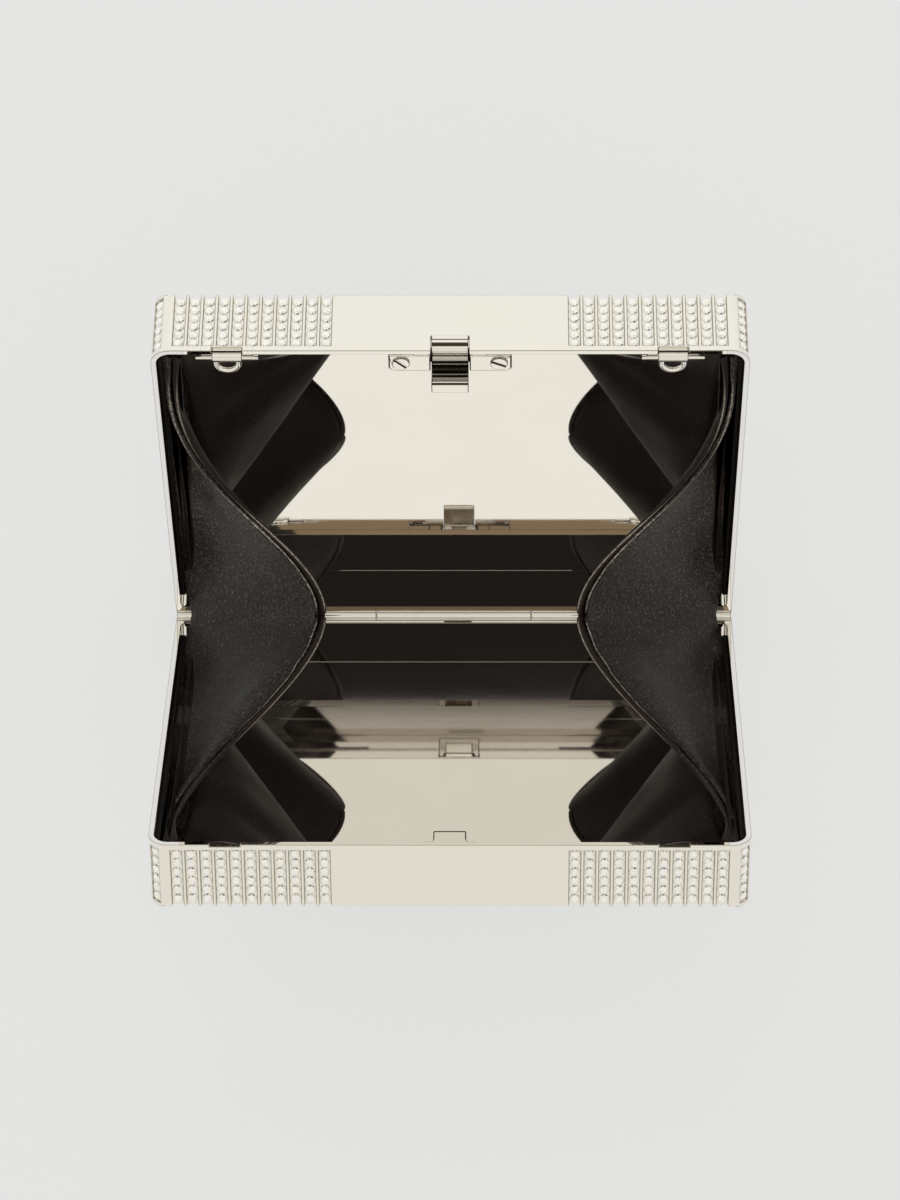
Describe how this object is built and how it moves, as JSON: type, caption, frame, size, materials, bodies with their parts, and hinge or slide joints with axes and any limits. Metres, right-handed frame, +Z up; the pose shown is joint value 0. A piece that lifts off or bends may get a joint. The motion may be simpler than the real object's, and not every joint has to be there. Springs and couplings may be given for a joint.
{
  "type": "hard-shell minaudiere",
  "caption": "Hard-shell metal evening clutch with crystal rows, black folding gussets, a lift latch and fold-away chain lugs, standing open on its hinge end.",
  "frame": {"origin": "bottom centre of the open clutch, midway between the two edges that it stands on", "axes": "+Z up; +X along the hinge, to the right in the picture; +Y from the shell with the strike towards the shell with the latch"},
  "size_m": [0.165, 0.1692, 0.1121],
  "materials": {
    "shell_metal": "polished warm silver plating",
    "panel_metal": "mirror polish",
    "fittings": "polished",
    "hinge_metal": "plated",
    "stones": "faceted, foil-backed",
    "black_leather": "soft satin grain",
    "backing_board": "fibreboard"
  },
  "bodies": {
    "front_half": {"front_shell": "shell_metal", "front_panel": "panel_metal", "front_board": "backing_board", "front_face_stones": "stones", "front_side_stones": "stones", "front_hinge_leaf": "hinge_metal", "hinge_pin": "hinge_metal", "strike_plate": "fittings", "strike_rivets": "fittings", "front_left_clamp": "fittings", "front_right_clamp": "fittings", "left_gusset": "black_leather", "right_gusset": "black_leather", "left_gusset_lining": "black_leather", "right_gusset_lining": "black_leather"},
    "back_half": {"back_shell": "shell_metal", "back_panel": "panel_metal", "back_board": "backing_board", "back_face_stones": "stones", "back_side_stones": "stones", "back_hinge_leaf": "hinge_metal", "back_left_clamp": "fittings", "back_right_clamp": "fittings", "latch_bracket": "fittings", "latch_screws": "fittings", "latch_pin": "hinge_metal", "latch_spring": "hinge_metal", "left_lug_pin": "fittings", "right_lug_pin": "fittings"},
    "lever": {"latch_lever": "fittings"},
    "left_lug": {"left_lug": "fittings"},
    "right_lug": {"right_lug": "fittings"}
  },
  "joints": [
    {"name": "shell_hinge", "type": "hinge", "parent": "front_half", "child": "back_half", "pos_m": [0, 0, 0.0112], "axis": [1, 0, 0], "range_deg": [0, 67.6], "deforming": ["left_gusset", "right_gusset", "left_gusset_lining", "right_gusset_lining"]},
    {"name": "latch_lift", "type": "hinge", "parent": "back_half", "child": "lever", "pos_m": [0, 0.06904, 0.11023], "axis": [1, 0, 0], "range_deg": [0, 12], "stiffness_Nm_per_rad": 0.02, "springref_deg": -11.46, "deforming": ["latch_spring"]},
    {"name": "left_lug_turn", "type": "hinge", "parent": "back_half", "child": "left_lug", "pos_m": [-0.0613, 0.06617, 0.1095], "axis": [-1, 0, 0], "range_deg": [-60, 180]},
    {"name": "right_lug_turn", "type": "hinge", "parent": "back_half", "child": "right_lug", "pos_m": [0.0613, 0.06617, 0.1095], "axis": [-1, 0, 0], "range_deg": [-60, 180]}
  ]
}
